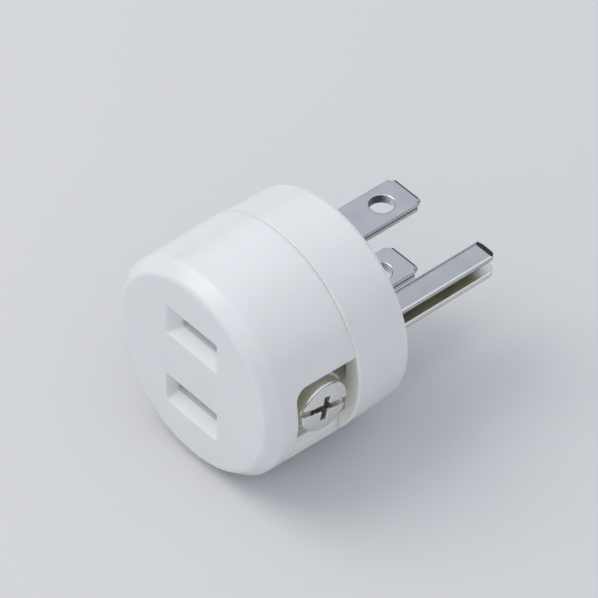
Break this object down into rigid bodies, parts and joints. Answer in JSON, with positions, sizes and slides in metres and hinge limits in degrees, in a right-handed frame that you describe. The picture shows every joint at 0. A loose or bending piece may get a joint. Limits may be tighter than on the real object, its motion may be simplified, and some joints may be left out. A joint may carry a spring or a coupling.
{
  "type": "grounding plug adapter",
  "caption": "Round plug adapter with flat blades and a channel-shaped earth pin at the back, a slotted socket face in front and a side earth terminal screw.",
  "frame": {"origin": "centre of the rear face, on the body's axis, where the adapter meets the wall outlet", "axes": "+Y the way the prongs point, +Z from the lower blade to the upper blade, +X towards the earth pin"},
  "size_m": [0.0333, 0.0455, 0.0334],
  "materials": {
    "white_plastic": "satin moulded",
    "nickel_strip": "nickel plated sheet",
    "nickel_screw": "nickel plated"
  },
  "bodies": {
    "adapter": {"front_cover": "white_plastic", "rear_base": "white_plastic", "live_contact": "nickel_strip", "neutral_contact": "nickel_strip", "earth_pin": "nickel_strip", "terminal_plate": "nickel_strip", "assembly_screw": "nickel_screw"},
    "washer": {"terminal_washer": "nickel_screw"},
    "screw": {"terminal_screw": "nickel_screw"}
  },
  "joints": [
    {"name": "washer_slide", "type": "slide", "parent": "adapter", "child": "washer", "axis": [1, 0, 0], "range_m": [0, 0.0028]},
    {"name": "screw_turn", "type": "hinge", "parent": "washer", "child": "screw", "pos_m": [0.01634, -0.0152, -0.0003], "axis": [1, 0, 0], "range_deg": [0, 1440]}
  ],
  "couplings": [
    {"joint": "screw_turn", "follows": "washer_slide", "rad_per_m": 8976}
  ]
}
